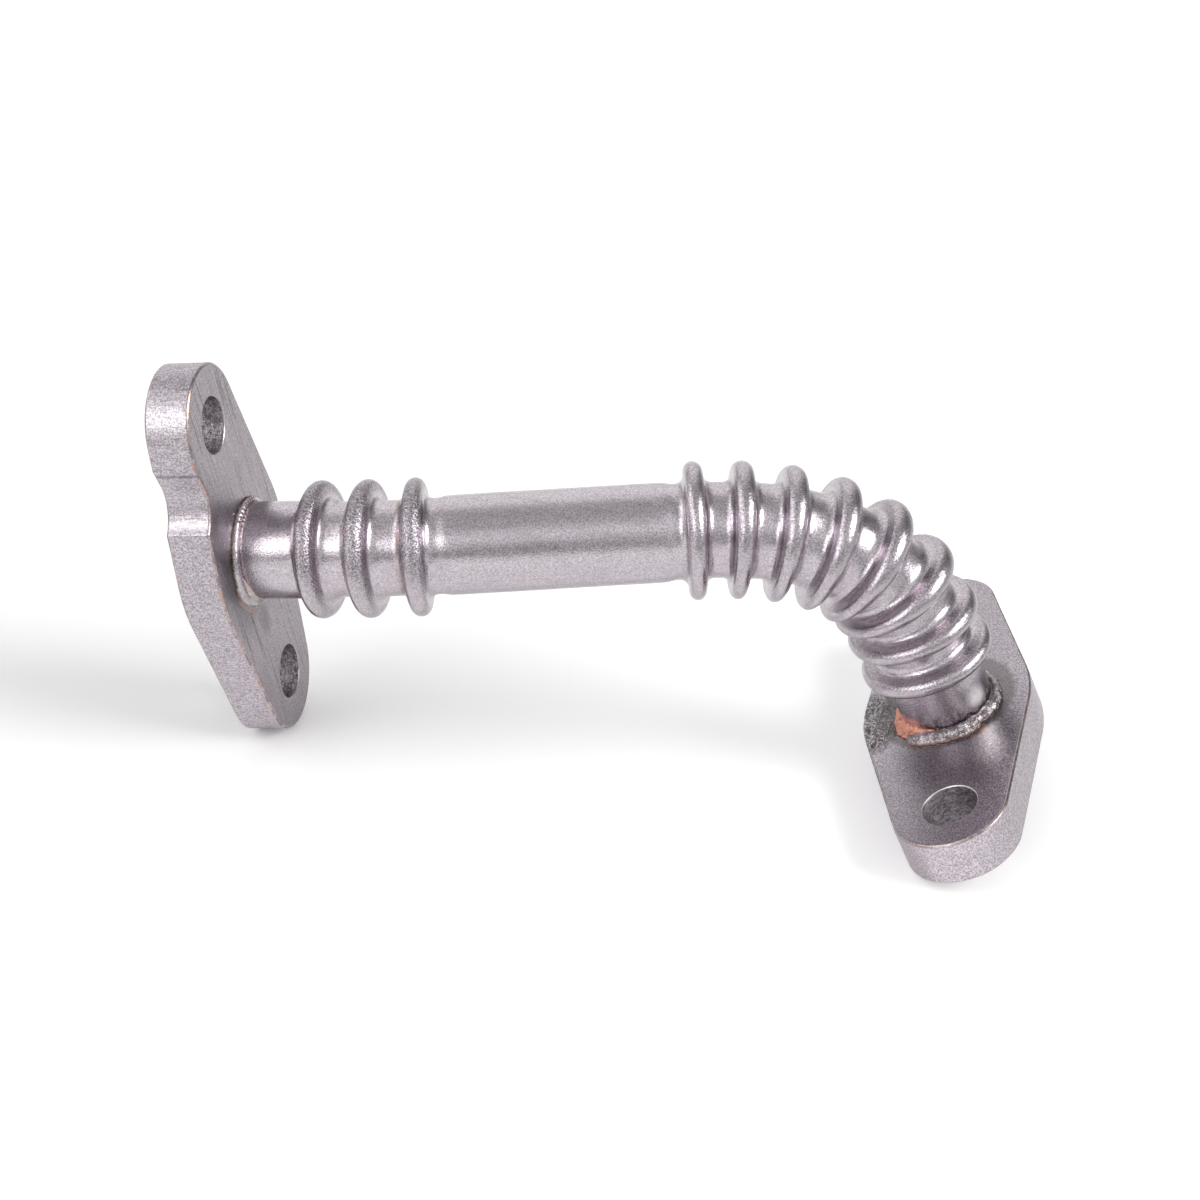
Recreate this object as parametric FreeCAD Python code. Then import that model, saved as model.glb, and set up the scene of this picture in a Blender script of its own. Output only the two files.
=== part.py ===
import FreeCAD, Part
import math
import os

# Turbo lubrication pipe: a convoluted steel tube joined to a bolt flange at each end.
# Millimetres and degrees. The turbo flange comes first, the tube runs on from it, and the whole part is
# then laid down as it rests on a table.

# Tube section
tube_outer_d = 16.0
stub_outer_d = 15.8
root_outer_d = 15.4
tube_wall = 1.0

# Bead section: a crest, a bevel on each side of it, and upright flanks down to the root
bead_outer_d = 22.2
bead_flank_d = 20.1
bead_width = 3.3
bead_crest_width = 1.4

# Centreline, from the turbo flange's face to the engine flange's face. The tube still turns a little where it
# settles behind the third bead, and a neck and a shoulder stand at each end of the plain length.
turbo_stub_length = 12.0
turbo_bead_pitch = 7.9
turbo_gap_turns = [1.5, 9.5]
settle_length = 5.0
settle_turn = 2.0
neck_length = 3.0
shoulder_length = 2.0
plain_length = 34.0
bend_bead_pitch = 7.1
bend_gap_turns = [5.5, 8.0, 10.0, 14.5, 19.5, 11.5, 1.0]
engine_stub_length = 10.7

# Directions round the tube, counted from the cross direction of the turbo flange
flex_direction = -26.0
bend_direction = -98.0
engine_bolt_direction = 180.0

# Turbo flange
turbo_bolt_spacing = 50.5
turbo_lobe_radius = 9.75
turbo_half_width = 14.6
turbo_side_radius = 22.0
turbo_thickness = 7.2
turbo_bore_shift = 0.3
turbo_bore_rise = 0.4
relief_cutter_radius = 6.0
relief_half_width = 9.1
relief_height = 18.6
relief_run_out = 15.0

# Engine flange
engine_bolt_spacing = 54.2
engine_lobe_radius = 9.6
engine_half_width = 14.6
engine_side_radius = 26.0
engine_thickness = 7.9
engine_bore_shift = 0.2
engine_bore_rise = 0.0

# Both flanges
bolt_hole_d = 9.0
edge_chamfer = 0.3
tube_fit = 0.1
tube_setback = 0.8

# Joints between the tube and the flanges: beads laid at an offset from the tube's surface
turbo_ring_offset = 1.0
turbo_ring_bead = 1.15
turbo_ring_rise = 0.45
engine_ring_offset = 1.7
engine_ring_bead = 1.2
engine_ring_rise = 0.65
engine_ring_shift = 0.5
engine_ring_shift_direction = 35.0
ring_facets = 4
copper_height = 1.3

X = FreeCAD.Vector(1, 0, 0)
Y = FreeCAD.Vector(0, 1, 0)
Z = FreeCAD.Vector(0, 0, 1)
ORIGIN = FreeCAD.Vector(0, 0, 0)


def turned(angle):
    """Turn about the tube's own direction."""
    return FreeCAD.Placement(ORIGIN, FreeCAD.Rotation(Z, angle))


def forward(length, turn=0.0):
    """Move along local z by an arc of this length, which turns towards local x."""
    if turn == 0:
        return FreeCAD.Placement(Z * length, FreeCAD.Rotation())
    angle = math.radians(turn)
    radius = length / angle
    shift = FreeCAD.Vector(radius * (1 - math.cos(angle)), 0, radius * math.sin(angle))
    return FreeCAD.Placement(shift, FreeCAD.Rotation(Y, turn))


# Distances along the centreline from the turbo flange's face
turbo_beads = [turbo_stub_length + turbo_bead_pitch * i for i in range(len(turbo_gap_turns) + 1)]
plain_start = turbo_beads[-1] + neck_length + shoulder_length
plain_end = plain_start + plain_length
bend_start = plain_end + shoulder_length + neck_length
bend_beads = [bend_start + bend_bead_pitch * i for i in range(len(bend_gap_turns) + 1)]
centreline_length = bend_beads[-1] + engine_stub_length
beads = turbo_beads + bend_beads

# Each bend of the centreline: where it starts, its length, its turn and its direction
bends = [
    (start, turbo_bead_pitch, turn, flex_direction) for start, turn in zip(turbo_beads, turbo_gap_turns)
]
bends.append((turbo_beads[-1], settle_length, settle_turn, flex_direction))
bends += [(start, bend_bead_pitch, turn, bend_direction) for start, turn in zip(bend_beads, bend_gap_turns)]

# The turbo flange's cross direction is Y, its bolt line is Z and the tube leaves it along X
turbo_place = FreeCAD.Placement(ORIGIN, FreeCAD.Rotation(X + Y + Z, 120))


def place_at(distance):
    """Where the centreline is this far from the turbo flange's face, local z along the tube."""
    place = turbo_place
    reached = 0.0
    for start, length, turn, direction in bends:
        if distance <= start:
            break
        part = min(length, distance - start)
        place = place * forward(start - reached)
        place = place * turned(direction) * forward(part, turn * part / length) * turned(-direction)
        reached = start + part
    return place * forward(distance - reached)


engine_place = place_at(centreline_length) * turned(engine_bolt_direction - 90)


def bead_profile(centre, radius_before, radius_after):
    """Distance and radius of the corners of a bead's outline."""
    offs = [bead_width / 2, bead_width / 2, bead_crest_width / 2]
    heights = [bead_flank_d / 2, bead_outer_d / 2]
    rise = [(centre - off, radius) for off, radius in zip(offs, [radius_before] + heights)]
    fall = [(centre + off, radius) for off, radius in zip(offs, [radius_after] + heights)]
    return rise + fall[::-1]


def tube_run(centre, profile, start, end):
    """Stretch of the tube turned about the centreline's direction at centre.

    Planes square to the centreline at start and end cut it off, so neighbours meet in a mitre."""
    oil_way = root_outer_d / 2 - tube_wall
    corners = profile + [(profile[-1][0], oil_way), (profile[0][0], oil_way)]
    corners = [FreeCAD.Vector(radius, 0, distance - centre) for distance, radius in corners]
    run = Part.Face(Part.makePolygon(corners + corners[:1])).revolve(ORIGIN, Z, 360)
    run.Placement = place_at(centre)
    size = bead_outer_d * 2
    for distance, shift in ((start, -size), (end, 0)):
        beyond = Part.makeBox(size, size, size, FreeCAD.Vector(-size / 2, -size / 2, shift))
        beyond.Placement = place_at(distance)
        run = run.cut(beyond)
    return run


def make_tube():
    """Lubrication tube, open at both ends, with an oil way of one width."""
    stub = stub_outer_d / 2
    root = root_outer_d / 2
    plain = tube_outer_d / 2
    cuts = [start + length / 2 for start, length, turn, direction in bends]
    cuts = [tube_setback - turbo_thickness] + cuts + [centreline_length + engine_thickness - tube_setback]
    runs = []
    for i, centre in enumerate(beads):
        start = cuts[i]
        end = cuts[i + 1]
        before = [(start - bend_bead_pitch / 2, stub if i == 0 else root)]
        if centre == bend_start:
            before += [(plain_start - shoulder_length, root), (plain_start, plain)]
            before += [(plain_end, plain), (plain_end + shoulder_length, root)]
        after = [(end + bend_bead_pitch / 2, stub if i == len(beads) - 1 else root)]
        profile = before + bead_profile(centre, before[-1][1], after[0][1]) + after
        runs.append(tube_run(centre, profile, start, end))
    return runs[0].multiFuse(runs[1:]).removeSplitter()


def flange_tangents(spacing, lobe_radius, half_width, side_radius):
    """Ends of the straight side between the upper lobe and the left side's arc."""
    height = spacing / 2
    inset = side_radius - half_width
    lean = math.asin((side_radius - lobe_radius) / math.hypot(height, inset)) - math.atan2(inset, height)
    lobe_end = FreeCAD.Vector(-lobe_radius * math.cos(lean), height + lobe_radius * math.sin(lean), 0)
    side_end = FreeCAD.Vector(inset - side_radius * math.cos(lean), side_radius * math.sin(lean), 0)
    return lobe_end, side_end


def flange_outline(spacing, lobe_radius, half_width, side_radius):
    """Face with a lobe round each bolt, straight sides and a rounded corner in the middle of each side."""
    lobe_end, side_end = flange_tangents(spacing, lobe_radius, half_width, side_radius)

    def mirrored(point, across, along):
        return FreeCAD.Vector(point.x * across, point.y * along, 0)

    top = FreeCAD.Vector(0, spacing / 2 + lobe_radius, 0)
    left = FreeCAD.Vector(-half_width, 0, 0)
    corners = [mirrored(lobe_end, -1, 1), top, lobe_end, side_end, left, mirrored(side_end, 1, -1)]
    corners += [mirrored(lobe_end, 1, -1), mirrored(top, 1, -1), mirrored(lobe_end, -1, -1)]
    corners += [mirrored(side_end, -1, -1), mirrored(left, -1, 1), mirrored(side_end, -1, 1)]
    edges = []
    for i in range(0, len(corners), 3):
        start, middle, end = corners[i : i + 3]
        edges.append(Part.Arc(start, middle, end).toShape())
        edges.append(Part.LineSegment(end, corners[(i + 3) % len(corners)]).toShape())
    return Part.Face(Part.Wire(edges))


def outline_edges(plate, thickness):
    """Edges of the plate's two faces."""
    found = []
    for edge in plate.Edges:
        box = edge.BoundBox
        if box.ZLength < thickness / 2 and min(abs(box.ZMin), abs(box.ZMin - thickness)) < thickness / 100:
            found.append(edge)
    return found


def make_flange(outline, spacing, thickness, bore_shift, bore_rise, relief=None):
    """Plate between z = 0 and z = thickness, its middle shifted from the tube's axis."""
    plate = outline.extrude(Z * thickness)
    if relief:
        plate = plate.cut(relief)
    plate = plate.makeChamfer(edge_chamfer, outline_edges(plate, thickness))
    for side in (-1, 1):
        hole = FreeCAD.Vector(0, side * spacing / 2, 0)
        plate = plate.cut(Part.makeCylinder(bolt_hole_d / 2, thickness, hole))
    bore = FreeCAD.Vector(bore_shift, bore_rise, 0)
    plate = plate.cut(Part.makeCylinder(stub_outer_d / 2 + tube_fit, thickness, bore))
    plate.translate(-bore)
    return plate


def turbo_relief():
    """Path of a round cutter along the side of the plate, which runs out towards the upper lobe."""
    start = FreeCAD.Vector(-relief_half_width - relief_cutter_radius, relief_height, 0)
    run = turned(relief_run_out).multVec(Y)
    end = start + run * turbo_lobe_radius * 2
    across = run.cross(Z) * relief_cutter_radius
    corners = [start + across, end + across, end - across, start - across]
    edges = [Part.LineSegment(a, b).toShape() for a, b in zip(corners, corners[1:])]
    edges.append(Part.Arc(corners[3], start - run * relief_cutter_radius, corners[0]).toShape())
    return Part.Face(Part.Wire(edges)).extrude(Z * turbo_thickness)


def make_turbo_flange():
    """Flange at the turbocharger: its mating face is the one away from the tube."""
    outline = flange_outline(turbo_bolt_spacing, turbo_lobe_radius, turbo_half_width, turbo_side_radius)
    plate = make_flange(
        outline, turbo_bolt_spacing, turbo_thickness, turbo_bore_shift, turbo_bore_rise, turbo_relief()
    )
    plate.Placement = turbo_place * forward(-turbo_thickness) * plate.Placement
    return plate


def make_engine_flange():
    """Flange at the engine block."""
    outline = flange_outline(engine_bolt_spacing, engine_lobe_radius, engine_half_width, engine_side_radius)
    plate = make_flange(outline, engine_bolt_spacing, engine_thickness, engine_bore_shift, engine_bore_rise)
    plate.Placement = engine_place * plate.Placement
    return plate


def joint_ring(offset, bead_radius, rise, shift):
    """Bead laid round the tube on a face at z = 0: rounded in a few bands, upright on its inner side."""
    radius = stub_outer_d / 2 + offset
    foot = math.asin(rise / bead_radius)
    corners = []
    for i in range(ring_facets + 1):
        angle = math.pi * i / ring_facets - foot
        across = radius + bead_radius * math.cos(angle)
        corners.append(FreeCAD.Vector(across, 0, rise + bead_radius * math.sin(angle)))
    corners.append(FreeCAD.Vector(corners[-1].x, 0, 0))
    ring = Part.Face(Part.makePolygon(corners + corners[:1])).revolve(ORIGIN, Z, 360)
    ring.translate(shift)
    return ring.cut(Part.makeCylinder(stub_outer_d / 2, radius))


def make_turbo_ring():
    """Joint ring on the turbo flange."""
    ring = joint_ring(turbo_ring_offset, turbo_ring_bead, turbo_ring_rise, ORIGIN)
    ring.Placement = turbo_place
    return ring


# The engine flange's joint is built on a face that looks back along the tube
engine_joint_place = engine_place * FreeCAD.Placement(ORIGIN, FreeCAD.Rotation(Y, 180))
engine_shift = turned(engine_ring_shift_direction).multVec(X) * engine_ring_shift


def make_engine_joint():
    """Weld bead on the engine flange, and the copper that fills the gap between it and the tube."""
    ring = joint_ring(engine_ring_offset, engine_ring_bead, engine_ring_rise, engine_shift)
    tube = stub_outer_d / 2
    copper = Part.makeCone(tube + engine_ring_offset, tube, copper_height, engine_shift)
    copper = copper.cut(Part.makeCylinder(tube, copper_height)).cut(ring)
    ring.Placement = engine_joint_place
    copper.Placement = engine_joint_place
    return ring, copper


def table_rotation():
    """Rotation that lays the part down.

    It rests on the turbo flange's lower lobe, behind the chamfer of its mating face, and on a straight edge
    of the engine flange's mating face."""
    lobe = FreeCAD.Vector(-turbo_bore_shift, -turbo_bore_rise - turbo_bolt_spacing / 2, 0)
    lobe = (turbo_place * forward(edge_chamfer - turbo_thickness)).multVec(lobe)
    ends = flange_tangents(
        engine_bolt_spacing,
        engine_lobe_radius - edge_chamfer,
        engine_half_width - edge_chamfer,
        engine_side_radius - edge_chamfer,
    )
    middle = FreeCAD.Vector(engine_bore_shift, engine_bore_rise, 0)
    mating = engine_place * forward(engine_thickness)
    start, end = (mating.multVec(point - middle) for point in ends)
    up = Z
    for _ in range(30):
        lowest = lobe - FreeCAD.Vector(0, up.y, up.z).normalize() * turbo_lobe_radius
        up = (start - end).cross(lowest - end).normalize()
        if up.z < 0:
            up = -up
    level = (X - up * X.dot(up)).normalize()
    return FreeCAD.Rotation(level, up.cross(level), up, "ZXY").inverted()


def make_nodes():
    """All the pieces, by the name of their node, resting on z = 0 with their box's middle over the origin."""
    engine_ring, copper = make_engine_joint()
    nodes = {
        "turbo_flange": make_turbo_flange(),
        "lubrication_tube": make_tube(),
        "engine_flange": make_engine_flange(),
        "turbo_joint_ring": make_turbo_ring(),
        "engine_joint_ring": engine_ring,
        "engine_braze_fillet": copper,
    }
    laid = FreeCAD.Placement(ORIGIN, table_rotation())
    for shape in nodes.values():
        shape.Placement = laid * shape.Placement
    box = Part.makeCompound(list(nodes.values())).optimalBoundingBox(False)
    middle = FreeCAD.Vector((box.XMin + box.XMax) / 2, (box.YMin + box.YMax) / 2, box.ZMin)
    for shape in nodes.values():
        shape.translate(-middle)
    return nodes


os.makedirs("parts", exist_ok=True)
for name, shape in make_nodes().items():
    shape.exportStep("parts/" + name + ".step")
    print(name, len(shape.Solids), shape.isValid(), round(shape.Volume, 1))
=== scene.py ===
import math
import bmesh
import bpy
from mathutils import Matrix, Vector, geometry, noise


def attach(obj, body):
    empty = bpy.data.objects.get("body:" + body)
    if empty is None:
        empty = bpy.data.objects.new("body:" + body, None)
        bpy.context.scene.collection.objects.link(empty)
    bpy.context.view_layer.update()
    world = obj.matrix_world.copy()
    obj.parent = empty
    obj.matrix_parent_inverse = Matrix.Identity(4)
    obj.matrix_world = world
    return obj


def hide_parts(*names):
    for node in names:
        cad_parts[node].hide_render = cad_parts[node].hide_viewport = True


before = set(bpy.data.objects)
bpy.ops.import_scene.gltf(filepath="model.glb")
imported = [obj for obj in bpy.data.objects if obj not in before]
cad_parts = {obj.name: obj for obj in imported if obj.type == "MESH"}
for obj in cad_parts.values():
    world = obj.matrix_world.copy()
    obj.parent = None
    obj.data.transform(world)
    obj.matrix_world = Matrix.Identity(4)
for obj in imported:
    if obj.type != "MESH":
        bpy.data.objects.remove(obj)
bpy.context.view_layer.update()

# Lengths are in millimetres, apart from those of the studio
MM = 0.001

# Turbo flange's face: the tube leaves it along z, and its bolt line is y
TURBO_ORIGIN = Vector((-58.474, -21.427, 35.639))
TURBO_Z = Vector((0.98600, 0.0, 0.16672))
TURBO_Y = Vector((-0.16360, -0.19239, 0.96759))

# Flanges: from bolt to bolt, thickness, and the bore's place beside the middle
TURBO_SPACING = 50.5
TURBO_THICKNESS = 7.2
TURBO_BORE = (0.3, 0.4)
ENGINE_SPACING = 54.2
ENGINE_THICKNESS = 7.9
ENGINE_BORE = (0.2, 0.0)
BOLT_HOLE_R = 4.5
BORE_GAP = 0.1

# How far the tube's ends stay behind the mating faces
RECESS = 0.8

# Height at which the joints' filler starts, from the flange's face
JOINT_FOOT = -0.05

# Tube's section
STUB_R = 7.9
ROOT_R = 7.7
PLAIN_R = 8.0
CREST_R = 11.1
CREST_ARC = 1.45
ROOT_ARC = 1.5
WALL = 1.0
TUBE_RIM = 0.15
AROUND_TUBE = 144

# Distances along the tube's centreline, from the turbo flange's face
TURBO_PITCH = 7.9
BEND_PITCH = 7.1
TURBO_BEADS = [12.0 + TURBO_PITCH * i for i in range(3)]
NECK = (30.8, 32.8)
SHOULDER = (66.8, 68.8)
BEND_BEADS = [71.8 + BEND_PITCH * i for i in range(8)]
FACE_TO_FACE = BEND_BEADS[-1] + 10.7
TUBE_START = RECESS - TURBO_THICKNESS
TUBE_END = FACE_TO_FACE + ENGINE_THICKNESS - RECESS

# Each bend of the centreline: where it starts, its length, its turn and its direction, in degrees
FLEX = -26.0
BEND = -98.0
BENDS = [
    (TURBO_BEADS[0], TURBO_PITCH, 1.5, FLEX),
    (TURBO_BEADS[1], TURBO_PITCH, 9.5, FLEX),
    (TURBO_BEADS[2], 5.0, 2.0, FLEX),
]
BENDS += [
    (start, BEND_PITCH, turn, BEND)
    for start, turn in zip(BEND_BEADS, [5.5, 8.0, 10.0, 14.5, 19.5, 11.5, 1.0])
]

# Colours of the metals, and of what marks them
FLANGE = (0.53, 0.479, 0.521)
TUBE = (0.60, 0.546, 0.588)
WELD = (0.58, 0.54, 0.56)
COPPER = (0.80, 0.37, 0.28)
BROWN = (0.36, 0.20, 0.13)
HEAT = (0.55, 0.33, 0.22)
DARK = (0.13, 0.11, 0.12)
DIRT = (0.20, 0.16, 0.16)
BRIGHT = (0.93, 0.89, 0.91)
WHITE = (1, 1, 1)
BLACK = (0, 0, 0)


def turned(angle, axis="Z"):
    return Matrix.Rotation(math.radians(angle), 4, axis)


def forward(length, turn=0.0):
    """Move along z, or along an arc that turns about y."""
    if abs(turn) < 1e-9:
        return Matrix.Translation((0, 0, length))
    angle = math.radians(turn)
    radius = length / angle
    shift = (radius * (1 - math.cos(angle)), 0, radius * math.sin(angle))
    return Matrix.Translation(shift) @ turned(turn, "Y")


def axes_matrix(origin, x, y, z):
    return Matrix.Translation(origin) @ Matrix((x, y, z)).transposed().to_4x4()


def outward(angle):
    """Unit vector away from z at an angle in degrees."""
    return Vector((math.cos(math.radians(angle)), math.sin(math.radians(angle)), 0))


TURBO_X = TURBO_Y.cross(TURBO_Z).normalized()
TURBO = axes_matrix(TURBO_ORIGIN, TURBO_X, TURBO_Z.cross(TURBO_X).normalized(), TURBO_Z.normalized())


def place_at(distance):
    """Frame on the tube's centreline, its z along the tube."""
    place = TURBO.copy()
    reached = 0.0
    for start, length, turn, direction in BENDS:
        if distance <= start:
            break
        part = min(length, distance - start)
        place = place @ forward(start - reached)
        place = place @ turned(direction) @ forward(part, turn * part / length) @ turned(-direction)
        reached = start + part
    return place @ forward(distance - reached)


# Engine flange's face with the tube ahead along z, and the same face seen from the tube
ENGINE = place_at(FACE_TO_FACE) @ turned(90)
ENGINE_JOINT = ENGINE @ turned(180, "Y")
ENGINE_Z = ENGINE.to_3x3().col[2]


def skin(bm, rings):
    """Smooth faces between each ring of vertices and the next."""
    for a, b in zip(rings, rings[1:]):
        for i in range(len(a)):
            n = (i + 1) % len(a)
            bm.faces.new((a[i], a[n], b[n], b[i])).smooth = True


def new_piece(node, bm, matrix, material):
    """Piece for a CAD node, from a mesh in the piece's own axes, which materials still read as "own"."""
    name = node + "_detail"
    mesh = bpy.data.meshes.new(name)
    bmesh.ops.recalc_face_normals(bm, faces=bm.faces)
    bm.to_mesh(mesh)
    bm.free()
    own = mesh.attributes.new("own", "FLOAT_VECTOR", "POINT")
    for vertex, kept in zip(mesh.vertices, own.data):
        kept.vector = vertex.co
        vertex.co = (matrix @ vertex.co) * MM
    mesh.update()
    mesh.materials.append(material)
    piece = bpy.data.objects.new(name, mesh)
    bpy.context.scene.collection.objects.link(piece)
    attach(piece, "root")
    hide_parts(node)
    return piece


# Node trees
class Nodes:
    """Short calls for building a node tree."""

    def __init__(self, tree):
        self.tree = tree

    def add(self, kind, ins=None, out=0, **props):
        """Output of a new node, whose inputs are linked to other outputs or set."""
        node = self.tree.nodes.new(kind)
        for key, value in props.items():
            setattr(node, key, value)
        for key, value in (ins or {}).items():
            socket = node.inputs[key]
            if isinstance(value, bpy.types.NodeSocket):
                self.tree.links.new(value, socket)
            else:
                socket.default_value = value
        return node.outputs[out]

    def attribute(self, name):
        return self.add("ShaderNodeAttribute", out=1, attribute_name=name)

    def part(self, vector, axis):
        """One number of a vector: 0, 1 or 2 for x, y or z."""
        return self.add("ShaderNodeSeparateXYZ", {0: vector}, axis)

    def math(self, operation, a, b=0.0, c=0.0):
        return self.add("ShaderNodeMath", {0: a, 1: b, 2: c}, operation=operation)

    def times(self, *factors):
        product = factors[0]
        for factor in factors[1:]:
            product = self.math("MULTIPLY", product, factor)
        return product

    def vector(self, operation, a, b=(0, 0, 0), out=0):
        """Vector sum or product, or with out=1 its number, such as a length."""
        return self.add("ShaderNodeVectorMath", {0: a, 1: b}, out, operation=operation)

    def noise(self, where, scale, detail=3.0, rough=0.55, distortion=0.0):
        ins = {"Vector": where, "Scale": scale, "Detail": detail}
        ins |= {"Roughness": rough, "Distortion": distortion}
        return self.add("ShaderNodeTexNoise", ins)

    def cells(self, where, scale):
        return self.add("ShaderNodeTexVoronoi", {"Vector": where, "Scale": scale})

    def span(self, value, low, high, to_low=0.0, to_high=1.0):
        """Smooth step from one number where the value is low to the other where it is high."""
        ins = {"Value": value, "From Min": low, "From Max": high, "To Min": to_low, "To Max": to_high}
        return self.add("ShaderNodeMapRange", ins, interpolation_type="SMOOTHSTEP")

    def mix(self, factor, a, b):
        """Colour between two."""
        return self.add("ShaderNodeMix", {0: factor, 6: a, 7: b}, 2, data_type="RGBA")

    def blend(self, factor, a, b):
        """Number between two."""
        return self.add("ShaderNodeMix", {0: factor, 2: a, 3: b}, data_type="FLOAT")

    def bump(self, height, strength, distance, normal=None):
        ins = {"Height": height, "Strength": strength, "Distance": distance * MM}
        if normal is not None:
            ins["Normal"] = normal
        return self.add("ShaderNodeBump", ins)


def rgba(colour):
    return (*colour, 1.0)


def scaled(colour, level):
    return tuple(c * level for c in colour)


def new_material(name):
    """Material with the calls for its node tree and the inputs of its shader."""
    material = bpy.data.materials.new(name)
    material.use_nodes = True
    return material, Nodes(material.node_tree), material.node_tree.nodes["Principled BSDF"].inputs


# Materials of the pipe
class Surface:
    """Blasted metal, to which marks are added. A mark is as strong as the product of its factors."""

    def __init__(self, name, colour, roughness, blasting, speckle, per_mm=4.6, waves=0.5):
        self.material, self.nodes, self.shader = new_material(name)
        nodes = self.nodes
        self.own = nodes.attribute("own")
        self.normal_in = nodes.add("ShaderNodeNewGeometry", out=1)
        fine = nodes.noise(self.own, per_mm, 2.0, 0.65)
        self.grain = nodes.span(fine, 0.36, 0.64)
        self.coarse = nodes.noise(self.own, 1.5, 3.0, 0.6)
        cloud = nodes.noise(self.own, 0.16, 3.0, 0.5)
        dark = rgba(scaled(colour, 1 - speckle))
        light = rgba(scaled(colour, 1 + speckle))
        self.colour = nodes.mix(self.grain, dark, light)
        self.tint(scaled(colour, 0.78), nodes.span(cloud, 0.35, 0.7, 0.0, 0.18))
        self.roughness = nodes.span(self.coarse, 0.3, 0.7, roughness - 0.04, roughness + 0.05)
        height = nodes.math("MULTIPLY_ADD", self.coarse, waves, fine)
        self.normal = nodes.bump(height, 0.7, blasting)

    def facing(self, axis):
        """How squarely the surface faces along this axis of the shared frame, either way."""
        return self.nodes.math("ABSOLUTE", self.nodes.vector("DOT_PRODUCT", self.normal_in, tuple(axis), 1))

    def near(self, centre, inner, outer, squash=(1, 1, 1), ragged=0.0):
        """One inside a round area of the piece's own axes, falling to zero outside it."""
        nodes = self.nodes
        away = nodes.vector("MULTIPLY", nodes.vector("SUBTRACT", self.own, centre), squash)
        reach = nodes.vector("LENGTH", away, out=1)
        if ragged:
            reach = nodes.math("MULTIPLY_ADD", nodes.noise(self.own, 0.9, 3.0, 0.6), ragged, reach)
            reach = nodes.math("SUBTRACT", reach, ragged / 2)
        return nodes.span(reach, inner, outer, 1.0, 0.0)

    def tint(self, colour, *factors):
        """Towards this colour."""
        self.colour = self.nodes.mix(self.nodes.times(*factors), self.colour, rgba(colour))

    def shade(self, level, *factors):
        """Colour times this level, with its grain kept."""
        scale = self.nodes.blend(self.nodes.times(*factors), 1.0, level)
        ins = {0: self.colour, "Scale": scale}
        self.colour = self.nodes.add("ShaderNodeVectorMath", ins, operation="SCALE")

    def polish(self, roughness, *factors):
        """Towards this roughness."""
        self.roughness = self.nodes.blend(self.nodes.times(*factors), self.roughness, roughness)

    def emboss(self, distance, *factors, strength=1.0):
        """Raised by this distance."""
        self.normal = self.nodes.bump(self.nodes.times(*factors), strength, distance, self.normal)

    def done(self):
        links = self.nodes.tree.links
        links.new(self.colour, self.shader["Base Color"])
        links.new(self.roughness, self.shader["Roughness"])
        links.new(self.normal, self.shader["Normal"])
        self.shader["Metallic"].default_value = 1.0
        return self.material


def plate_surface(name, axis, spacing, warm, lip_highlight):
    """Flange steel: speckled sides, a smoother face, drilled holes and warm worn edges."""
    surface = Surface(name, FLANGE, roughness=0.31, blasting=0.055, speckle=0.34, per_mm=3.4)
    nodes = surface.nodes
    facing = surface.facing(axis)
    face = nodes.span(facing, 0.9, 0.99)

    # Worn edges, and the smoother face
    edge = nodes.times(nodes.span(facing, 0.10, 0.45), nodes.span(facing, 0.75, 0.97, 1.0, 0.0))
    patchy = nodes.span(nodes.noise(surface.own, 0.3, 4.0, 0.7), 0.40, 0.66)
    surface.tint(warm, edge, patchy, 0.85)
    surface.tint(DIRT, edge, nodes.span(patchy, 0.0, 0.4, 0.7, 0.0))
    surface.shade(0.76, face, nodes.span(surface.coarse, 0.4, 0.7, 0.5, 1.0))

    # Bolt holes: a painted highlight on the lip, and a rough wall darkened by painted shade
    wall = nodes.span(facing, 0.25, 0.5, 1.0, 0.0)
    swirl = nodes.noise(nodes.vector("MULTIPLY", surface.own, (1.0, 1.0, 2.0)), 1.1, 4.0, 0.75, 0.6)
    for side in (-1, 1):
        middle = (0, side * spacing / 2, 0)
        around = surface.near(middle, BOLT_HOLE_R + 0.25, BOLT_HOLE_R + 0.45, (1, 1, 0))
        rising = nodes.span(facing, 0.4, 0.6)
        # Painted highlight on the hole's lip
        surface.tint((0.85, 0.80, 0.82), around, rising, nodes.span(facing, 0.9, 0.98, lip_highlight, 0.0))
        # Painted shade: the hole's wall darkened, with a rough swirl
        surface.tint(DARK, around, wall, nodes.span(swirl, 0.38, 0.62, 0.85, 0.1))
        surface.emboss(0.35, around, wall, swirl, strength=0.9)
    return surface, facing, face


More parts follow.
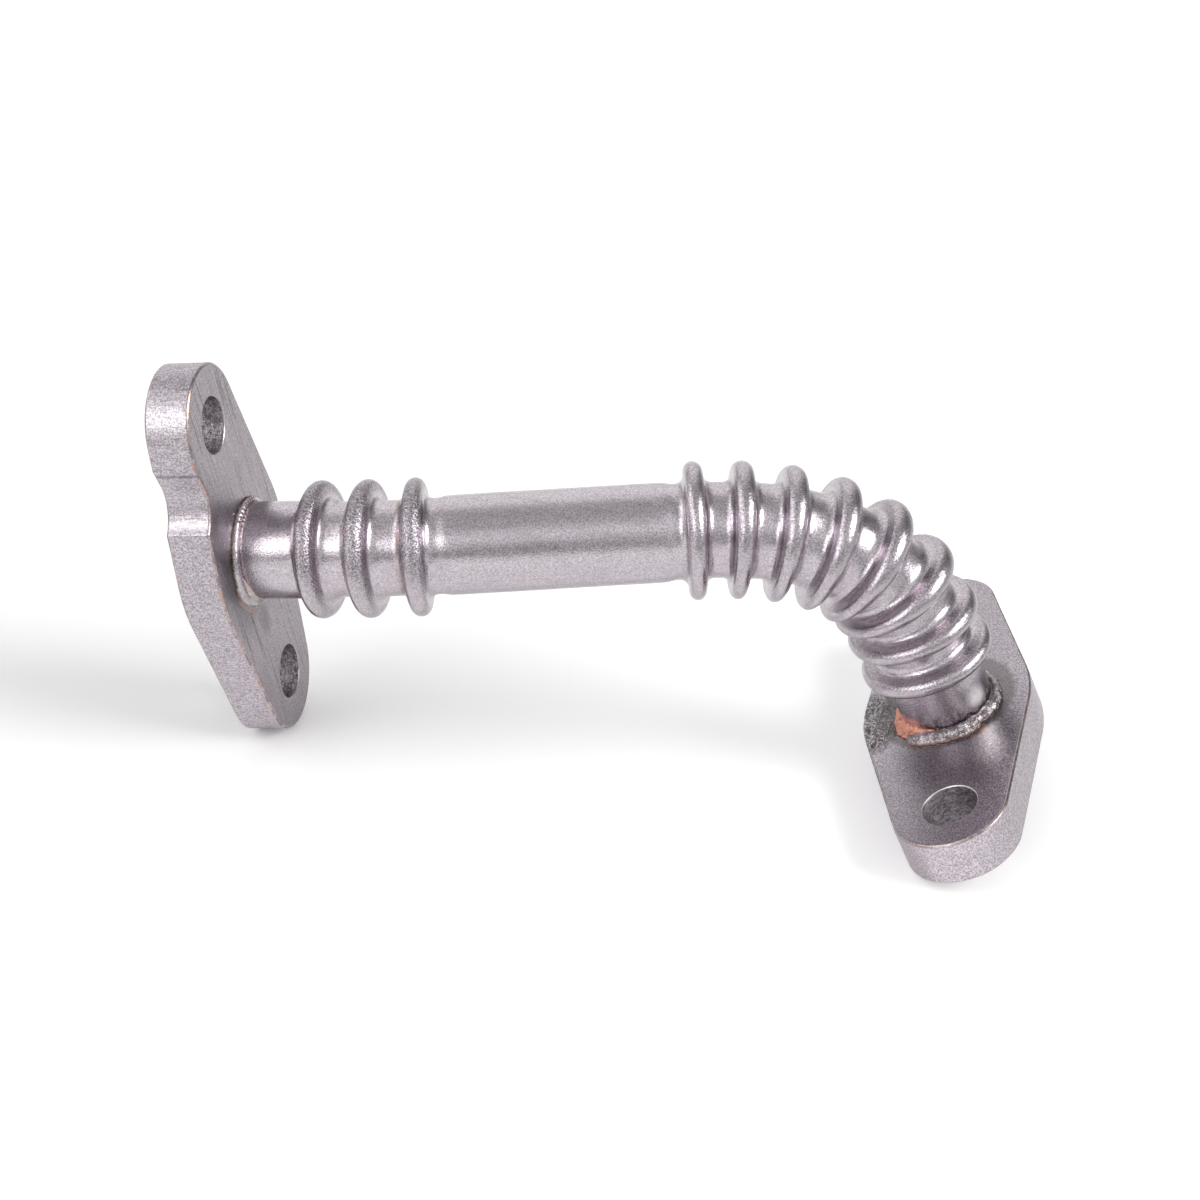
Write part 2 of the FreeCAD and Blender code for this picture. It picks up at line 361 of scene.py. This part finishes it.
def turbo_flange_material():
    surface, facing, face = plate_surface("turbo_flange_steel", TURBO_Z, TURBO_SPACING, HEAT, 0.3)
    nodes = surface.nodes

    # Grinding lines, scratches and pits on the face
    along = nodes.vector("MULTIPLY", surface.own, (1.0, 0.035, 1.0))
    lines = nodes.noise(along, 3.4, 3.0, 0.7)
    scratch = nodes.span(nodes.noise(along, 1.6, 2.0, 0.5), 0.58, 0.68)
    pits = nodes.span(nodes.cells(surface.own, 0.9), 0.05, 0.16, 1.0, 0.0)
    some = nodes.span(nodes.noise(surface.own, 0.25, 2.0, 0.5), 0.52, 0.62)
    surface.tint((0.24, 0.21, 0.23), face, nodes.span(lines, 0.35, 0.62, 0.0, 0.55))
    surface.tint(DARK, face, scratch, nodes.span(surface.coarse, 0.3, 0.7, 0.3, 0.9))
    surface.tint((0.10, 0.08, 0.09), face, pits, some, 0.8)
    surface.emboss(0.04, face, nodes.math("MULTIPLY_ADD", scratch, -0.6, lines), strength=0.8)
    surface.emboss(-0.10, face, pits, some)

    # Face beside the tube: a dark patch below it, a broad painted dark reflection of the tube and a painted
    # glint
    # A dark patch on the face just below the tube
    dark_below_tube = surface.near((-3.0, -11.0, 0), 0.6, 3.4, (1.0, 0.7, 1.0), 3.0)
    surface.tint(DARK, face, dark_below_tube, 0.6)
    # Painted dark reflection of the tube on the face
    tube_reflection_shade = surface.near((-7.5, 1.5, 0), 3.0, 9.0, (1.1, 0.62, 1), 1.5)
    surface.shade(0.42, face, tube_reflection_shade)
    # Painted glint: the ring's highlight reflected in the face
    painted_glint = surface.near((-7.6, 9.2, 0), 0.3, 4.0, (0.9, 0.8, 1))
    surface.shade(2.2, face, painted_glint)

    # Long side with the relief: painted shade along the crease at its top, a painted highlight along the
    # step at its foot, and a painted highlight on the lobe above it
    side = nodes.span(facing, 0.2, 0.4, 1.0, 0.0)
    across = nodes.part(surface.own, 0)
    front = nodes.span(across, -8.0, -8.6)
    # Painted shade along the crease
    crease_shade = surface.near((0, 22.7, 0), 0.05, 0.6, (0, 1, 0), 0.25)
    surface.shade(0.6, side, front, crease_shade)
    # Painted highlight along the step
    step = surface.near((0, 14.1, 0), 0.1, 0.9, (0, 1, 0), 0.25)
    surface.tint(BRIGHT, side, front, step, 0.3)
    # Painted highlight on the lobe's side
    lobe_highlight = surface.near((-7.5, 31.0, 0), 0.3, 2.7, (0.2, 1, 0), 1.2)
    grain = nodes.span(surface.grain, 0, 1, 0.1, 0.5)
    surface.tint(BRIGHT, side, nodes.span(across, -4.0, -6.0), lobe_highlight, grain)

    # Hammered look of the sides
    hammered = nodes.noise(nodes.vector("MULTIPLY", surface.own, (1.0, 1.6, 0.45)), 1.5, 3.0, 0.65)
    surface.shade(0.8, side, nodes.span(hammered, 0.5, 0.68))
    surface.emboss(0.10, side, hammered, strength=0.8)
    return surface.done()


def engine_flange_material():
    warm = (0.40, 0.28, 0.24)
    surface, facing, face = plate_surface("engine_flange_steel", ENGINE_Z, ENGINE_SPACING, warm, 0.8)
    nodes = surface.nodes
    top = -ENGINE_THICKNESS
    upper = nodes.span(nodes.part(surface.own, 2), top + 0.9, top + 0.3)
    bore = (*ENGINE_BORE, top)
    flat = (1, 1, 0)

    # Face: a painted dark reflection beside the tube, a painted pale highlight streak, and a broad darker
    # area
    # Painted dark reflection of the tube beside it
    painted_dark_reflection = surface.near((3.0, 9.0, top), 4.0, 15.0, (1, 0.8, 1), 1.5)
    surface.shade(0.61, face, upper, painted_dark_reflection)
    # Painted pale highlight on the face
    painted_face_highlight = surface.near((6.9, 13.8, top), 0.2, 6.2, (1.5, 0.66, 1), 1.0)
    surface.tint((0.88, 0.85, 0.85), face, upper, painted_face_highlight, nodes.span(surface.grain, 0, 1, 0.35, 0.9))
    darker_area = surface.near((-6.0, 22.0, top), 3.0, 14.0, (1, 0.7, 1), 1.5)
    surface.shade(0.86, face, upper, darker_area)

    # Painted light on the side at the end of the nearer lobe
    side = nodes.span(facing, 0.2, 0.5, 1.0, 0.0)
    surface.shade(1.2, side, surface.near((-2.0, 36.0, 0), 7.0, 15.0, flat))

    # Rough dark patch beside the copper, with bright ridges
    patch = surface.near((-13.0, 0.5, top), 4.2, 6.6, (1.15, 0.72, 1), 2.0)
    outside = nodes.math("SUBTRACT", 1.0, surface.near(bore, 8.0, 8.6, flat, 0.5))
    patch = nodes.times(upper, patch, outside)
    chatter = nodes.noise(nodes.vector("MULTIPLY", surface.own, (1.2, 0.8, 1.0)), 0.9, 4.0, 0.7, 0.9)
    ridge = nodes.math("ABSOLUTE", nodes.math("SUBTRACT", chatter, 0.5))
    ridge = nodes.span(ridge, 0.008, 0.045, 0.95, 0.0)
    surface.shade(0.28, patch, nodes.span(chatter, 0.35, 0.6, 1.0, 0.75))
    surface.tint((0.95, 0.91, 0.93), patch, ridge, nodes.span(surface.coarse, 0.3, 0.5))
    surface.emboss(1.3, patch, chatter)
    surface.polish(0.24, patch, 0.8)

    # A darker ring round the weld bead, and two warm spots
    surface.tint((0.13, 0.11, 0.11), upper, surface.near(bore, 11.2, 12.6, flat, 1.6), 0.6)
    for x, y, size in ((6.0, 10.0, 1.2), (4.6, 11.3, 0.7)):
        spot = surface.near((x, y, top), 0.1, size, (1, 1, 1), 1.4)
        surface.tint((0.74, 0.42, 0.27), upper, spot, 0.65)
    surface.polish(0.23, face)
    return surface.done()


def tube_material():
    surface = Surface(
        "tube_steel", TUBE, roughness=0.165, blasting=0.05, speckle=0.24, per_mm=3.8, waves=0.15
    )
    nodes = surface.nodes
    run = nodes.attribute("run")
    radius = nodes.part(run, 1)

    # Peened beads, mainly on their upper side and at the turbo end, with painted shade darkening that upper
    # side
    bead = nodes.span(radius, 8.3, 9.8)
    upward = nodes.span(nodes.part(surface.normal_in, 2), -0.4, 0.3, 0.12, 1.0)
    turbo_end = nodes.span(nodes.part(surface.own, 0), -20.0, -30.0, 0.35, 1.0)
    rough = nodes.times(bead, upward, turbo_end)
    peened = nodes.noise(surface.own, 3.3, 2.0, 0.6)
    surface.emboss(0.16, rough, peened, strength=0.9)
    surface.shade(0.52, rough, nodes.span(peened, 0.48, 0.58))
    # Painted shade on the upper side of the beads
    surface.shade(0.86, rough)

    # Painted highlights on the last beads: a pale, rougher spot and a lighter spot
    matt_and_highlight = surface.near((59.6, -5.5, 18.4), 0.8, 3.4)
    surface.tint((0.93, 0.90, 0.91), matt_and_highlight)
    surface.polish(0.5, matt_and_highlight)
    # Painted light on the second spot
    surface.shade(1.4, surface.near((48.8, -6.3, 13.4), 1.0, 3.6))

    # Brown feet of the beads, and painted shade inside the tube
    patchy = nodes.span(nodes.noise(surface.own, 0.35, 3.0, 0.6), 0.40, 0.66)
    surface.tint(BROWN, nodes.part(run, 2), patchy, 0.8)
    # Painted shade inside the tube
    surface.tint((0.16, 0.13, 0.12), nodes.span(radius, 7.2, 7.4, 1.0, 0.0), 0.75)

    # Drawing lines and specks
    drawn = nodes.noise(nodes.vector("MULTIPLY", surface.own, (0.12, 1.0, 1.0)), 1.3, 3.0, 0.6)
    surface.tint(scaled(TUBE, 0.62), nodes.span(drawn, 0.50, 0.70, 0.0, 0.30))
    specks = nodes.span(nodes.cells(surface.own, 0.55), 0.05, 0.14, 1.0, 0.0)
    some = nodes.span(nodes.noise(surface.own, 0.2, 2.0, 0.5), 0.48, 0.60)
    surface.tint((0.20, 0.17, 0.18), specks, some, 0.7)
    return surface.done()


def weld_material(name, lumps, lump_size, cast):
    """Bright filler with lumps, warm where it meets the tube and dark where it meets the plate."""
    surface = Surface(name, WELD, roughness=0.18, blasting=0.05, speckle=0.3)
    nodes = surface.nodes
    stained = nodes.noise(surface.own, 0.9, 3.0, 0.65)
    surface.tint((0.15, 0.12, 0.12), nodes.span(stained, 0.38, 0.62, 0.0, cast))
    at_tube = surface.near((0, 0, 0), STUB_R + 0.1, STUB_R + 0.35, (1, 1, 0))
    surface.tint((0.60, 0.36, 0.25), at_tube, 0.5)
    at_plate = nodes.span(nodes.part(surface.own, 2), 0.1, 0.45, 1.0, 0.0)
    surface.tint((0.24, 0.15, 0.12), at_plate, 0.75)
    surface.emboss(lumps, nodes.noise(surface.own, lump_size, 3.0, 0.65))
    return surface.done()


def copper_material():
    surface = Surface("copper_filler", COPPER, roughness=0.40, blasting=0.09, speckle=0.2)
    nodes = surface.nodes
    pale = nodes.noise(surface.own, 1.1, 3.0, 0.6)
    surface.tint((0.92, 0.60, 0.50), nodes.span(pale, 0.5, 0.75, 0.0, 0.5))
    stained = nodes.noise(surface.own, 1.7, 3.0, 0.7)
    surface.shade(0.6, nodes.span(stained, 0.5, 0.64))
    far_side = nodes.span(nodes.part(surface.own, 0), 2.0, -0.6)
    surface.tint(scaled(WELD, 0.7), far_side)
    surface.emboss(0.15, nodes.noise(surface.own, 1.4, 3.0, 0.6))
    return surface.done()


# Tube
def bead_points(centre, before, after, depth):
    """Root and crest arcs of one bead, as distance and radius, this deep below the tube's surface."""

    def half(base):
        root_steps = 7
        crest_steps = 9
        crest = CREST_R - CREST_ARC
        root = base + ROOT_ARC
        reach = CREST_ARC + ROOT_ARC
        slope = math.asin((crest - root) / reach)
        points = []
        for i in range(root_steps):
            angle = (math.pi / 2 - slope) * i / root_steps
            r = ROOT_ARC + depth
            points.append((reach * math.cos(slope) - r * math.sin(angle), root - r * math.cos(angle)))
        for i in range(crest_steps + 1):
            angle = (math.pi / 2 - slope) * (1 - i / crest_steps)
            r = CREST_ARC - depth
            points.append((r * math.sin(angle), crest + r * math.cos(angle)))
        return points

    rise = [(centre - off, radius) for off, radius in half(before)]
    fall = [(centre + off, radius) for off, radius in reversed(half(after))]
    return rise + fall[1:]


def stretch(start, end, radius_start, radius_end, step):
    """Even points strictly between start and end."""
    count = max(1, round((end - start) / step))
    return [
        (start + (end - start) * i / count, radius_start + (radius_end - radius_start) * i / count)
        for i in range(1, count)
    ]


def tube_profile(depth):
    """The tube from end to end, as distance and radius, this deep below its surface."""
    stub = STUB_R - depth
    root = ROOT_R - depth
    plain = PLAIN_R - depth
    points = [(TUBE_START, stub)]
    beads = TURBO_BEADS + BEND_BEADS
    for i, centre in enumerate(beads):
        before = STUB_R if i == 0 else ROOT_R
        after = STUB_R if i == len(beads) - 1 else ROOT_R
        bead = bead_points(centre, before, after, depth)
        if centre == BEND_BEADS[0]:
            rise = [(0.0, 0.0), (0.5, 0.03), (1.0, 0.12), (1.5, 0.22)]
            ease = [(NECK[0] + x, root + y) for x, y in rise] + [(NECK[1], plain - 0.03)]
            points += ease
            points += stretch(NECK[1], SHOULDER[0], plain, plain, 1.5)
            points += [(SHOULDER[1] + NECK[0] - x, y) for x, y in reversed(ease)]
        else:
            points += stretch(points[-1][0], bead[0][0], points[-1][1], bead[0][1], 1.0)
        points += bead
    points += stretch(points[-1][0], TUBE_END, stub, stub, 1.0)
    return points + [(TUBE_END, stub)]


def crease_at(distance, radius):
    """How near this is to the foot of a bead at the turbo end, on the side towards the turbo."""
    foot = 2.3
    width = 0.45
    away = min(abs(distance - centre + foot) for centre in TURBO_BEADS)
    return max(0.0, 1 - away / width) if radius > ROOT_R - 0.1 else 0.0


def make_tube():
    outer = tube_profile(0.0)
    path = [(TUBE_START, STUB_R - TUBE_RIM), (TUBE_START + TUBE_RIM, STUB_R)] + outer[1:-1]
    path += [(TUBE_END - TUBE_RIM, STUB_R), (TUBE_END, STUB_R - TUBE_RIM)]

    # The inside is hardly seen, so every other point does
    inner = tube_profile(WALL)
    path += reversed(inner[:-1:2] + inner[-1:])

    bm = bmesh.new()
    rings = []
    for distance, radius in path:
        place = place_at(distance)
        ring = []
        for k in range(AROUND_TUBE):
            away = outward(360.0 * k / AROUND_TUBE)
            spot = place @ (away * radius)
            dent = min(0.0, noise.noise(spot * 0.11) * 0.04 + noise.noise(spot * 0.4) * 0.02 - 0.02)
            ring.append(bm.verts.new(place @ (away * (radius + dent))))
        rings.append(ring)
    skin(bm, rings + rings[:1])
    piece = new_piece("lubrication_tube", bm, Matrix.Identity(4), tube_material())
    run = piece.data.attributes.new("run", "FLOAT_VECTOR", "POINT")
    for i, kept in enumerate(run.data):
        distance, radius = path[i // AROUND_TUBE]
        kept.vector = (distance, radius, crease_at(distance, radius))


# Flanges
def arc_points(centre, radius, start, end, step):
    """Points on an arc between two angles in degrees."""
    count = max(2, math.ceil(abs(math.radians(end - start)) * radius / step))
    angles = [math.radians(start + (end - start) * i / count) for i in range(count + 1)]
    return [Vector((centre[0] + radius * math.cos(a), centre[1] + radius * math.sin(a))) for a in angles]


def flange_outline(spacing, lobe, half_width, side, step=0.3):
    """Lobe round each bolt, straight sides and a rounded corner in the middle of each side."""
    height = spacing / 2
    inset = side - half_width
    lean = math.degrees(math.asin((side - lobe) / math.hypot(height, inset)) - math.atan2(inset, height))
    corners = arc_points((-inset, 0), side, -lean, lean, step)
    corners += arc_points((0, height), lobe, lean, 180 - lean, step)
    corners += [-p for p in corners]
    outline = []
    for a, b in zip(corners, corners[1:] + corners[:1]):
        count = max(1, round((b - a).length / step))
        outline += [a.lerp(b, i / count) for i in range(count)]
    return outline


def with_relief(points, centre, radius, lean):
    """Outline pushed out of the path of a round cutter that runs up the plate's side."""
    centre = Vector(centre)
    run = Vector((-math.sin(math.radians(lean)), math.cos(math.radians(lean))))
    result = []
    for point in points:
        along = max(0.0, (point - centre).dot(run))
        nearest = centre + run * along
        away = point - nearest
        if away.length < radius:
            point = nearest + away.normalized() * radius
        result.append(point)
    return result


def inset_loop(loop, distance):
    """Loop moved towards its left by a small distance."""
    moved = []
    for i, point in enumerate(loop):
        before = (point - loop[i - 1]).normalized()
        after = (loop[(i + 1) % len(loop)] - point).normalized()
        along = before + after
        left = Vector((-along.y, along.x)) / max(0.6, along.length_squared / 2)
        moved.append(point + left * distance)
    return moved


def inside(point, loops):
    """Whether a point of the plane is within the outline and outside the holes."""
    crossings = 0
    for loop in loops:
        for a, b in zip(loop, loop[1:] + loop[:1]):
            if (a.y > point.y) != (b.y > point.y):
                crossings += point.x < a.x + (point.y - a.y) * (b.x - a.x) / (b.y - a.y)
    return crossings % 2 == 1


def cover(bm, rings, step=1.8):
    """Even triangles between an outline and its holes, all at one height."""
    loops = [[v.co.to_2d() for v in ring] for ring in rings]
    height = rings[0][0].co.z
    verts = [v for ring in rings for v in ring]
    ring_of = [i for i, ring in enumerate(rings) for _ in ring]
    edges = []
    first = 0
    for ring in rings:
        edges += [(first + i, first + (i + 1) % len(ring)) for i in range(len(ring))]
        first += len(ring)

    # Points of a triangular grid over the whole plate, each numbered as a ring of its own
    plate_reach = 40
    row_height = 0.87
    clearance = 0.8
    reach = int(plate_reach / step)
    for i in range(-reach, reach + 1):
        for j in range(-reach, reach + 1):
            point = Vector(((i + 0.5 * (j % 2)) * step, j * step * row_height))
            if inside(point, loops) and min((point - p).length for loop in loops for p in loop) > clearance:
                verts.append(bm.verts.new((point.x, point.y, height)))
                ring_of.append(-1 - len(ring_of))

    # A triangle with all its corners on one hole is within that hole
    triangles = geometry.delaunay_2d_cdt([v.co.to_2d() for v in verts], edges, [], 1, 1e-7)
    for face in triangles[2]:
        corners = [triangles[3][i][0] for i in face]
        shared = {ring_of[i] for i in corners}
        if len(shared) > 1 or shared == {0}:
            bm.faces.new([verts[i] for i in corners])


def plate_mesh(loops, thickness):
    """Plate from z = 0 down, with an edge of its own size on each loop; the first loop is the outline."""
    corner = [(1.4, 0.0), (1.0, 0.06), (0.68, 0.33), (0.33, 0.68), (0.06, 1.0), (0.0, 1.4), (0.0, 1.65)]
    bm = bmesh.new()
    tops = []
    bottoms = []
    for loop, edge in loops:
        stations = [(edge * inset, edge * down) for inset, down in corner]
        stations += [(inset, thickness - down) for inset, down in reversed(stations)]
        rings = []
        for inset, down in stations:
            rings.append([bm.verts.new((p.x, p.y, -down)) for p in inset_loop(loop, inset)])
        skin(bm, rings)
        tops.append(rings[0])
        bottoms.append(rings[-1])
    cover(bm, tops)
    cover(bm, bottoms)
    return bm


def make_flange(node, outline, spacing, thickness, bore, place, material):
    """Plate with its bore on the tube's line, and edges broken more on the outline than in the holes."""
    loops = [(inset_loop(outline, 0.03), 0.3)]
    for side in (-1, 1):
        loops.append((arc_points((0, side * spacing / 2), BOLT_HOLE_R, 360, 0, 0.25)[:-1], 0.15))
    loops.append((arc_points(bore, STUB_R + BORE_GAP, 360, 0, 0.3)[:-1], 0.03))
    matrix = place @ Matrix.Translation((-bore[0], -bore[1], 0))
    new_piece(node, plate_mesh(loops, thickness), matrix, material)


def make_flanges():
    outline = flange_outline(TURBO_SPACING, lobe=9.75, half_width=14.6, side=22.0)
    outline = with_relief(outline, centre=(-15.1, 18.6), radius=6.0, lean=15.0)
    sizes = (TURBO_SPACING, TURBO_THICKNESS, TURBO_BORE)
    make_flange("turbo_flange", outline, *sizes, TURBO, turbo_flange_material())
    outline = flange_outline(ENGINE_SPACING, lobe=9.6, half_width=14.6, side=26.0)
    sizes = (ENGINE_SPACING, ENGINE_THICKNESS, ENGINE_BORE)
    back = ENGINE @ forward(ENGINE_THICKNESS)
    make_flange("engine_flange", outline, *sizes, back, engine_flange_material())


# Joints
def lathe_ring(node, section, around, place, material):
    """Ring whose section, as radius and height points, changes with the angle."""
    bm = bmesh.new()
    rings = []
    for k in range(around):
        angle = 360.0 * k / around
        rings.append([bm.verts.new(outward(angle) * r + Vector((0, 0, h))) for r, h in section(angle)])
    skin(bm, rings + rings[:1])
    new_piece(node, bm, place, material)


def ring_section(foot, centre, bead, skirt, skirt_out):
    """Section of a bead of filler on the plate round the tube, with an open fillet where it flares."""
    steps = 18
    out = max(centre + bead, skirt_out)
    points = []
    for i in range(steps + 1):
        r = foot + (out - foot) * i / steps
        drop = bead * bead - (r - centre) * (r - centre)
        height = 0.45 * bead + math.sqrt(drop) if drop > 0 else 0.0
        if skirt_out > foot:
            height = max(height, skirt * max(0.0, (skirt_out - r) / (skirt_out - foot)) ** 2)
        points.append((r, height))
    return points + [(out, JOINT_FOOT), (foot, JOINT_FOOT)]


def by_angle(angle, stops):
    """Value at an angle, eased between stops that start at 0 and go once round."""
    stops = [*stops.items(), (360, stops[0])]
    for (a, low), (b, high) in zip(stops, stops[1:]):
        if a <= angle <= b:
            t = (angle - a) / (b - a)
            return low + (high - low) * t * t * (3 - 2 * t)


def turbo_ring_section(angle):
    """Narrow smooth bead, wavy like a wire at the top and flared where it comes down at the front."""
    centre = {0: 8.25, 80: 8.3, 120: 8.5, 170: 8.65, 205: 8.8, 240: 8.5, 290: 8.25}
    bead = {0: 0.5, 60: 0.5, 85: 0.6, 120: 0.62, 165: 0.72, 205: 0.72, 240: 0.55, 290: 0.5}
    wire = {0: 0.0, 50: 0.0, 66: 1.0, 100: 0.8, 116: 0.0}
    skirt = {0: 0.5, 165: 0.6, 195: 1.7, 240: 1.9, 270: 0.8}
    flare = {0: 8.5, 165: 8.6, 200: 10.4, 235: 10.2, 270: 8.7}
    waves = 58
    size = by_angle(angle, bead) + by_angle(angle, wire) * 0.09 * math.sin(math.radians(angle) * waves)
    foot = STUB_R - 0.06
    return ring_section(foot, by_angle(angle, centre), size, by_angle(angle, skirt), by_angle(angle, flare))


def engine_ring_section(angle):
    """Lumpy weld bead that starts beside the copper, and is thin at the copper and behind the tube."""
    centre = {0: 8.4, 40: 8.5, 50: 10.1, 62: 9.9, 78: 9.5, 105: 9.65, 130: 9.3, 160: 9.1, 185: 8.7}
    centre |= {250: 8.4, 320: 8.5}
    bead = {0: 0.12, 42: 0.12, 54: 0.8, 68: 1.05, 100: 1.08, 130: 1.0, 155: 0.95, 178: 0.65, 215: 0.45}
    drip = {0: 0.0, 42: 0.1, 60: 1.0, 86: 0.9, 112: 0.9, 124: 0.0}
    spot = outward(angle)
    size = by_angle(angle, bead) * (1 + 0.16 * noise.noise(spot * 7.0) + 0.08 * noise.noise(spot * 21.0))
    middle = by_angle(angle, centre) + 0.16 * noise.noise(spot * 5.0 + Vector((3, 0, 0)))
    run = by_angle(angle, drip) * (1 + 0.6 * noise.noise(spot * 9.0 + Vector((0, 5, 0))))
    return ring_section(middle - size - 0.1, middle, size, run, middle + size + 0.9 * run)


def copper_section(angle):
    """Filler between tube and weld bead: wide beside the bead's start, and a thin fillet elsewhere."""
    out = {0: 8.8, 18: 9.3, 34: 10.1, 48: 10.1, 64: 9.4, 80: 8.9, 110: 9.0, 160: 8.7, 200: 8.3}
    high = {0: 0.8, 18: 1.4, 45: 1.2, 64: 0.8, 90: 0.55, 180: 0.5, 300: 0.5}
    spot = outward(angle)
    out = by_angle(angle, out) * (1 + 0.02 * noise.noise(spot * 14.0))
    high = by_angle(angle, high) * (1 + 0.3 * noise.noise(spot * 11.0))
    low = min(1.0, high)
    foot = STUB_R - 0.05
    steps = 8
    points = []
    for i in range(steps + 1):
        t = i / steps
        points.append((out + (foot - out) * t, 0.35 * low + (high - 0.3 * low) * t ** 3))
    return points + [(foot, JOINT_FOOT), (out + 0.15, JOINT_FOOT)]


def make_joints():
    smooth = weld_material("joint_bead", lumps=0.10, lump_size=1.6, cast=0.3)
    lumpy = weld_material("weld_bead", lumps=0.34, lump_size=1.5, cast=0.85)
    lathe_ring("turbo_joint_ring", turbo_ring_section, 240, TURBO, smooth)
    lathe_ring("engine_joint_ring", engine_ring_section, 360, ENGINE_JOINT, lumpy)
    copper = copper_material()
    lathe_ring("engine_braze_fillet", copper_section, 240, ENGINE_JOINT, copper)


# Studio, in metres
CAMERA_PLACE = (0.050400, -0.325788, 0.210604)
CAMERA_RIGHT = Vector((0.979364, 0.195535, 0.051105))
CAMERA_UP = Vector((-0.140258, 0.475525, 0.868449))
LENS = 67.4106
FLOOR_SIDE = 3.0
FLOOR_FRONT = -0.42

# Light from all round, and round glows: azimuth from +Y towards +X, elevation, inner and outer radius,
# all in degrees, and power
SURROUND = 0.56
GLOWS = [
    (98, 38, 9, 19, 7.4),
    (130, 46, 12, 34, 0.30),
    (212, 27, 8, 22, 1.75),
    (244, 38, 8, 30, 0.8),
    (272, 30, 8, 26, 0.75),
    (180, 38, 5, 20, 0.30),
    (346, 33, 15, 38, 0.45),
    (40, 42, 12, 36, -0.26),
    (34, 14, 8, 28, -0.18),
    (180, 86, 8, 30, -0.06),
    (178, 4, 5, 18, -0.16),
]


def make_floor():
    """White floor that keeps the shadow: paler to the camera than to the part, and lit up a little to the
    camera by painted light that is stronger towards +x, lightening the shadows there.
    """
    left, right, back = -FLOOR_SIDE, FLOOR_SIDE, FLOOR_SIDE
    corners = [(left, FLOOR_FRONT, 0), (right, FLOOR_FRONT, 0), (right, back, 0), (left, back, 0)]
    mesh = bpy.data.meshes.new("floor")
    mesh.from_pydata(corners, [], [(0, 1, 2, 3)])
    floor = bpy.data.objects.new("floor", mesh)
    bpy.context.scene.collection.objects.link(floor)
    material, nodes, shader = new_material("floor")
    shader["Roughness"].default_value = 0.9
    shader["Specular IOR Level"].default_value = 0.0
    shader["Emission Color"].default_value = rgba(WHITE)
    seen = nodes.add("ShaderNodeLightPath")
    across = nodes.part(nodes.add("ShaderNodeNewGeometry"), 0)
    level = nodes.blend(seen, nodes.span(across, 0.03, 0.2, 0.93, 0.70), 0.95)
    nodes.tree.links.new(nodes.mix(level, rgba(BLACK), rgba(WHITE)), shader["Base Color"])
    # Painted light: emission to the camera, weak at -x and strong at +x
    painted_lift = nodes.math("MULTIPLY", seen, nodes.span(across, -0.08, 0.06, 0.06, 0.25))
    nodes.tree.links.new(painted_lift, shader["Emission Strength"])
    mesh.materials.append(material)


def make_world():
    """Soft studio surroundings, white to the camera."""
    world = bpy.data.worlds.new("studio")
    bpy.context.scene.world = world
    world.use_nodes = True
    nodes = Nodes(world.node_tree)
    way = nodes.vector("NORMALIZE", nodes.add("ShaderNodeTexCoord"))
    total = SURROUND
    for azimuth, elevation, inner, outer, power in GLOWS:
        a = math.radians(azimuth)
        e = math.radians(elevation)
        centre = (math.sin(a) * math.cos(e), math.cos(a) * math.cos(e), math.sin(e))
        aligned = nodes.vector("DOT_PRODUCT", way, centre, 1)
        glow = nodes.span(aligned, math.cos(math.radians(outer)), math.cos(math.radians(inner)))
        total = nodes.math("MULTIPLY_ADD", glow, power, total)
    colour = nodes.mix(nodes.add("ShaderNodeLightPath"), total, rgba(WHITE))
    nodes.tree.links.new(colour, nodes.tree.nodes["Background"].inputs[0])


def make_camera():
    camera = bpy.data.cameras.new("camera")
    camera.sensor_width = 36.0
    camera.lens = LENS
    camera.clip_start = 0.01
    camera.clip_end = 20.0
    holder = bpy.data.objects.new("camera", camera)
    bpy.context.scene.collection.objects.link(holder)
    holder.matrix_world = axes_matrix(CAMERA_PLACE, CAMERA_RIGHT, CAMERA_UP, CAMERA_RIGHT.cross(CAMERA_UP))
    bpy.context.scene.camera = holder


bpy.context.scene.view_settings.view_transform = "Standard"
make_floor()
make_world()
make_camera()
make_tube()
make_flanges()
make_joints()
